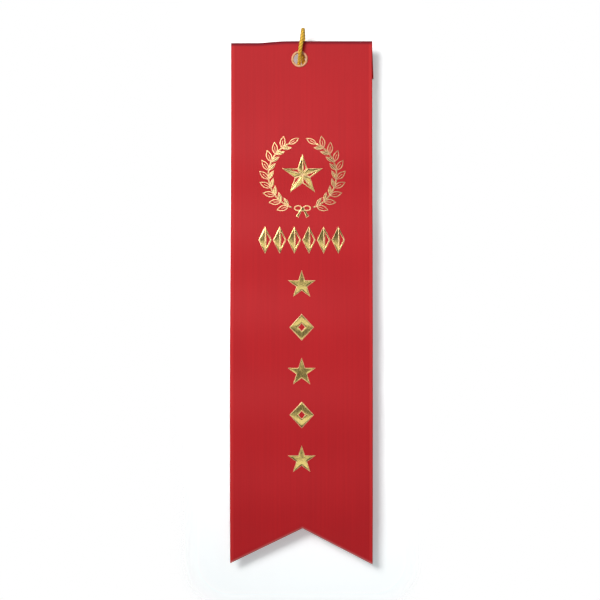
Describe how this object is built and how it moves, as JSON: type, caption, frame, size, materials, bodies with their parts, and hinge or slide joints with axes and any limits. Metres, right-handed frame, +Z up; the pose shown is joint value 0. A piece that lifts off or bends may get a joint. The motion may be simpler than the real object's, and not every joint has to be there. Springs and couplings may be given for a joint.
{
  "type": "award ribbon",
  "caption": "Hanging swallowtail satin award ribbon with a gold-foil wreath and star, a brass eyelet, a knotted string loop and an event card behind.",
  "frame": {"origin": "middle of the eyelet's hole, where a pin or hook holds the ribbon", "axes": "+X to the viewer's right, +Y away from the viewer, out of the ribbon's back, +Z up along the hanging ribbon"},
  "size_m": [0.0508, 0.009, 0.1921],
  "materials": {
    "satin": "woven satin, soft sheen",
    "gold_foil": "hot-stamped metallised film, bright",
    "eyelet_brass": "rolled, polished",
    "card_stock": "uncoated",
    "gold_string": "twisted yarn"
  },
  "bodies": {
    "header": {"ribbon_header": "satin", "event_card": "card_stock", "eyelet": "eyelet_brass", "string_bridge": "gold_string"},
    "tail": {"ribbon_tail": "satin", "foil_star": "gold_foil", "foil_laurel_left": "gold_foil", "foil_laurel_right": "gold_foil", "foil_bow": "gold_foil", "foil_band_1": "gold_foil", "foil_band_2": "gold_foil", "foil_band_3": "gold_foil", "foil_band_4": "gold_foil", "foil_band_5": "gold_foil", "foil_band_6": "gold_foil", "foil_column_1_star": "gold_foil", "foil_column_2_lozenge": "gold_foil", "foil_column_3_star": "gold_foil", "foil_column_4_lozenge": "gold_foil", "foil_column_5_star": "gold_foil"},
    "loop": {"string_strand_left": "gold_string", "string_strand_right": "gold_string", "string_knot": "gold_string", "string_end_short": "gold_string", "string_end_long": "gold_string"}
  },
  "joints": [
    {"name": "tail_lift", "type": "hinge", "parent": "header", "child": "tail", "pos_m": [0.00075, -0.0006, -0.00735], "axis": [-1, 0, 0], "range_deg": [0, 90]},
    {"name": "string_lift", "type": "hinge", "parent": "header", "child": "loop", "pos_m": [0.0005, 0.0039, -0.00515], "axis": [1, 0, 0], "range_deg": [0, 180]}
  ]
}
